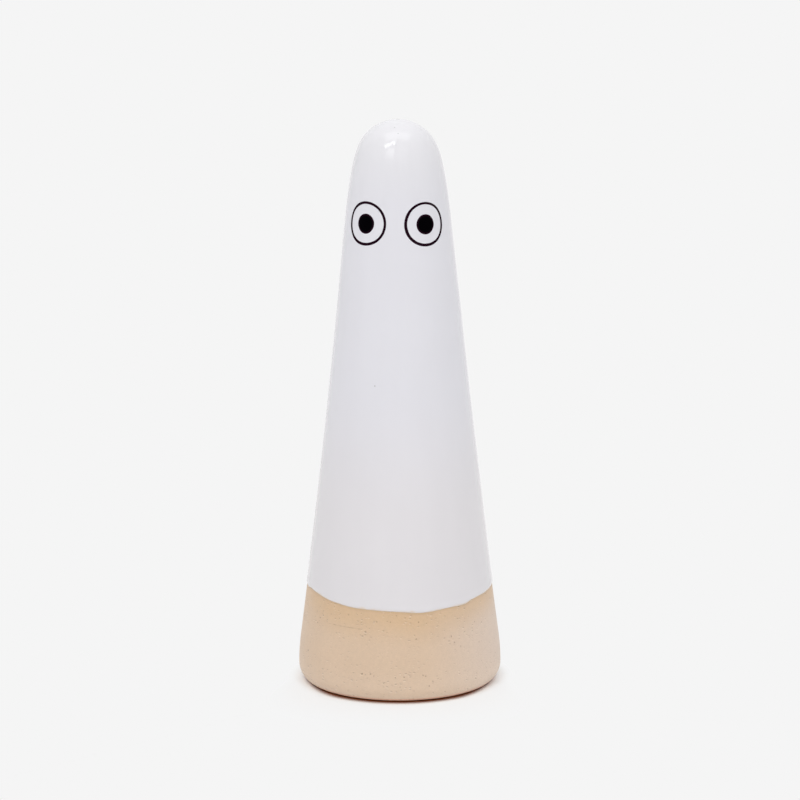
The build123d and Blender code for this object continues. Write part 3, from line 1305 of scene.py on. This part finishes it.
def light_sky(scene, stage):
    """Even light from all round, brighter from above and uneven low at the sides."""
    world = bpy.data.worlds.new("soft_sky")
    scene.world = world
    world.use_nodes = True
    world.node_tree.nodes.clear()
    kit = Wire(world.node_tree)
    across, _, up = kit.node("ShaderNodeTexCoord", out="Generated").parts()
    low_sky, high_sky = (0.1, 0.65), (0.2, 1.0)
    left, right = (-0.3, -0.95), (0.3, 0.95)
    low = up.fade(*low_sky, 1.0, 0.0)
    glow = stage.sky + up.fade(*high_sky) * stage.sky_top
    glow = glow + across.fade(*left) * low * stage.sky_left
    glow = glow + across.fade(*right) * low * stage.sky_right
    sky = kit.node("ShaderNodeBackground", inputs={"Color": kit.vector(glow, glow, glow)})
    paper = kit.node("ShaderNodeBackground", inputs={"Color": opaque(stage.paper), "Strength": 1.0})
    mixed = kit.node("ShaderNodeMixShader", inputs={0: seen_directly(kit), 1: sky, 2: paper})
    kit.node("ShaderNodeOutputWorld", inputs={"Surface": mixed})


def hang_lamp(name, stage, brightness, breadth, height, side, rise, tilt):
    """A soft lamp that looks at the figure from one side and from above."""
    lamp = bpy.data.lights.new(name, "AREA")
    lamp.shape = "RECTANGLE"
    lamp.size, lamp.size_y = breadth, height
    lamp.energy = brightness * math.pi * breadth * height
    hung = bpy.data.objects.new(name, lamp)
    bpy.context.scene.collection.objects.link(hung)
    back = facing(math.radians(side), math.radians(rise))
    hung.location = Vector((0, 0, stage.aim_height)) + back * stage.lamp_distance
    hung.rotation_mode = "QUATERNION"
    level = (-back).to_track_quat("-Z", "Y")
    hung.rotation_quaternion = level @ Quaternion((0, 0, 1), math.radians(tilt))
    hung.visible_diffuse = name not in GLOSS_LAMPS


def stand_camera(scene, stage):
    """The camera of the photograph: a long lens a little above the figure."""
    data = bpy.data.cameras.new("portrait_camera")
    data.sensor_width = FILM_WIDTH
    data.lens = stage.lens
    data.clip_start, data.clip_end = NEAREST, FURTHEST
    camera = bpy.data.objects.new("portrait_camera", data)
    scene.collection.objects.link(camera)
    back = facing(stage.camera_side, stage.camera_pitch)
    right = facing(stage.camera_side + math.pi / 2, 0.0)
    aim = Vector((0, 0, stage.aim_height)) + right * stage.aim_side
    camera.location = aim + back * stage.camera_distance
    camera.rotation_mode = "QUATERNION"
    level = (-back).to_track_quat("-Z", "Y")
    camera.rotation_quaternion = level @ Quaternion((0, 0, 1), stage.camera_roll)
    scene.camera = camera


class VIEW3D_PT_ghost(bpy.types.Panel):
    """The steps of making the ghost, in order"""

    bl_label = "Ceramic Ghost"
    bl_idname = "VIEW3D_PT_ghost"
    bl_space_type = "VIEW_3D"
    bl_region_type = "UI"
    bl_category = "Ghost"

    def draw(self, context):
        for step in STEPS:
            self.layout.operator(step.bl_idname)
        for name in SETTINGS:
            group = getattr(context.scene, name)
            box = self.layout.box()
            box.label(text=group.bl_rna.name)
            for label in group.__annotations__:
                box.prop(group, label)


STEPS = (
    GHOST_OT_throw_clay,
    GHOST_OT_dip_glaze,
    GHOST_OT_brush_rings,
    GHOST_OT_dot_pupils,
    GHOST_OT_set_stage,
)
SETTINGS = {
    "ghost_clay": ThrownClaySettings,
    "ghost_glaze": GlazeSettings,
    "ghost_eyes": EyeSettings,
    "ghost_stage": StageSettings,
}


def register():
    for name, group in SETTINGS.items():
        bpy.utils.register_class(group)
        setattr(bpy.types.Scene, name, PointerProperty(type=group))
    for made in (*STEPS, VIEW3D_PT_ghost):
        bpy.utils.register_class(made)


def unregister():
    for made in (VIEW3D_PT_ghost, *reversed(STEPS)):
        bpy.utils.unregister_class(made)
    for name, group in reversed(SETTINGS.items()):
        delattr(bpy.types.Scene, name)
        bpy.utils.unregister_class(group)


def main():
    """Makes the ghost step by step."""
    register()
    bpy.ops.ghost.throw_clay()
    bpy.ops.ghost.dip_glaze()
    bpy.ops.ghost.brush_rings()
    bpy.ops.ghost.dot_pupils()
    bpy.ops.ghost.set_stage()


if __name__ == "__main__":
    main()
